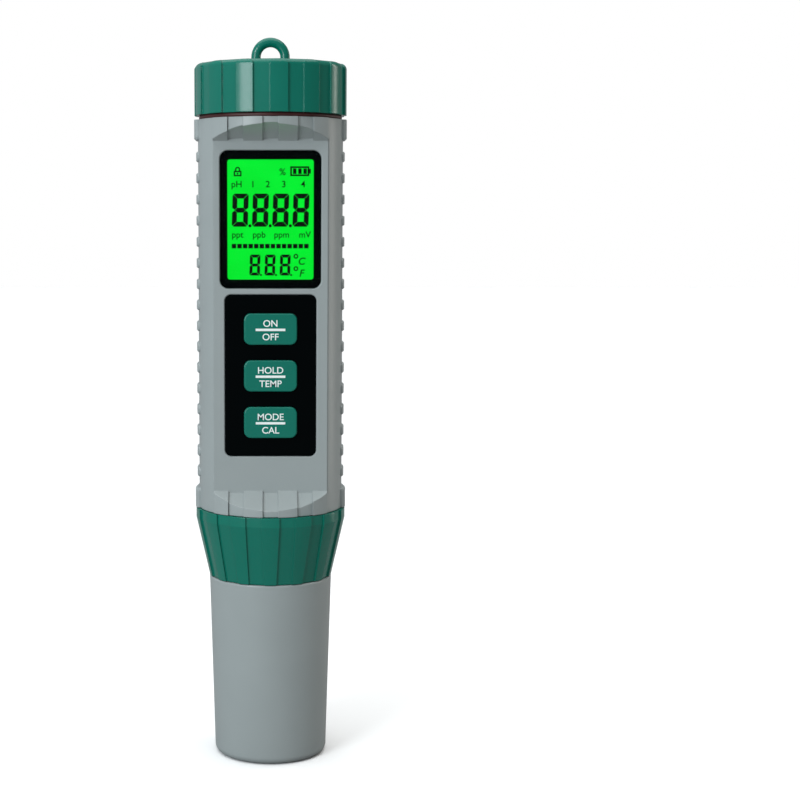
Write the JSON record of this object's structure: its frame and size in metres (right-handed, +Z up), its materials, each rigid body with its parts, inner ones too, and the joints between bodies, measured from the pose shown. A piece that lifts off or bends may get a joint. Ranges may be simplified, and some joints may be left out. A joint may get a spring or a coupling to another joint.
{
  "type": "digital ph meter",
  "caption": "Pen-type digital pH meter with a backlit display, press keys, screwed battery cap with a lanyard loop, and a screwed-on probe under a pull-off sleeve.",
  "frame": {"origin": "centre of the foot of the protective sleeve, on the table", "axes": "+Z up the pen to the lanyard loop; the display and keys face -Y; +X is to the right when the display is read"},
  "size_m": [0.0402, 0.04, 0.1915],
  "materials": {
    "shell_plastic": "fine satin moulded ABS",
    "green_plastic": "smooth glossy moulded ABS",
    "lens": "clear polished acrylic",
    "black_gloss": "glossy black printed panel",
    "lcd": "backlit liquid crystal glass",
    "light_guide": "translucent white light guide",
    "dark_rubber": "dark red-brown rubber",
    "black_rubber": "black rubber",
    "board": "green solder mask",
    "black_plastic": "black moulded plastic",
    "steel": "plain steel",
    "brass": "gold-plated brass",
    "probe_plastic": "dark grey moulded plastic",
    "bulb_glass": "thin clear glass",
    "ceramic": "porous white ceramic",
    "graphite": "graphite",
    "sponge": "open-cell sponge",
    "foam": "closed-cell foam"
  },
  "bodies": {
    "sleeve": {"protective_sleeve": "shell_plastic", "storage_sponge": "sponge"},
    "probe": {"probe_body": "probe_plastic", "probe_gasket": "black_rubber", "sleeve_o_ring": "black_rubber", "probe_guard": "probe_plastic", "ph_bulb": "bulb_glass", "reference_junction": "ceramic", "conductivity_pins": "graphite", "temperature_pin": "steel", "plug_pins": "brass"},
    "collar": {"collar_nut": "green_plastic"},
    "housing": {"body_shell": "shell_plastic", "neck_ring": "shell_plastic", "lower_plug": "shell_plastic", "display_lens": "lens", "display_bezel": "black_gloss", "lcd_panel": "lcd", "backlight_panel": "light_guide", "zebra_strips": "black_rubber", "lcd_holder": "black_plastic", "main_board": "board", "board_chips": "black_plastic", "board_screws": "steel", "switch_bodies": "black_plastic", "keypad_panel": "black_gloss", "battery_dock": "black_plastic", "dock_contacts": "brass", "battery_tray": "black_plastic", "tray_contacts": "brass", "battery_cells": "steel", "bridge_plate": "brass", "tray_lid": "black_plastic", "probe_socket": "black_plastic", "socket_contacts": "brass", "socket_board": "board", "link_header": "black_plastic"},
    "power_key": {"power_key": "green_plastic", "power_stem": "black_plastic"},
    "hold_key": {"hold_key": "green_plastic", "hold_stem": "black_plastic"},
    "mode_key": {"mode_key": "green_plastic", "mode_stem": "black_plastic"},
    "cap_seal": {"cap_seal": "dark_rubber"},
    "cap": {"battery_cap": "green_plastic", "cap_foam": "foam"}
  },
  "joints": [
    {"name": "sleeve_pull", "type": "slide", "parent": "sleeve", "child": "probe", "axis": [0, 0, 1], "range_m": [0, 0.045]},
    {"name": "collar_turn", "type": "hinge", "parent": "probe", "child": "collar", "pos_m": [0, 0, 0.058], "axis": [0, 0, -1], "range_deg": [0, 1080]},
    {"name": "housing_lift", "type": "slide", "parent": "probe", "child": "housing", "axis": [0, 0, 1], "range_m": [0, 0.0075]},
    {"name": "power_press", "type": "slide", "parent": "housing", "child": "power_key", "axis": [0, 1, 0], "range_m": [0, 0.0005], "stiffness_N_per_m": 3000},
    {"name": "hold_press", "type": "slide", "parent": "housing", "child": "hold_key", "axis": [0, 1, 0], "range_m": [0, 0.0005], "stiffness_N_per_m": 3000},
    {"name": "mode_press", "type": "slide", "parent": "housing", "child": "mode_key", "axis": [0, 1, 0], "range_m": [0, 0.0005], "stiffness_N_per_m": 3000},
    {"name": "cap_turn", "type": "hinge", "parent": "housing", "child": "cap_seal", "pos_m": [0, 0, 0.175], "axis": [0, 0, 1], "range_deg": [0, 1080]},
    {"name": "cap_rise", "type": "slide", "parent": "cap_seal", "child": "cap", "axis": [0, 0, 1], "range_m": [0, 0.0075]}
  ],
  "couplings": [
    {"joint": "housing_lift", "follows": "collar_turn", "m_per_rad": 0.0003978},
    {"joint": "cap_rise", "follows": "cap_turn", "m_per_rad": 0.0003978}
  ]
}
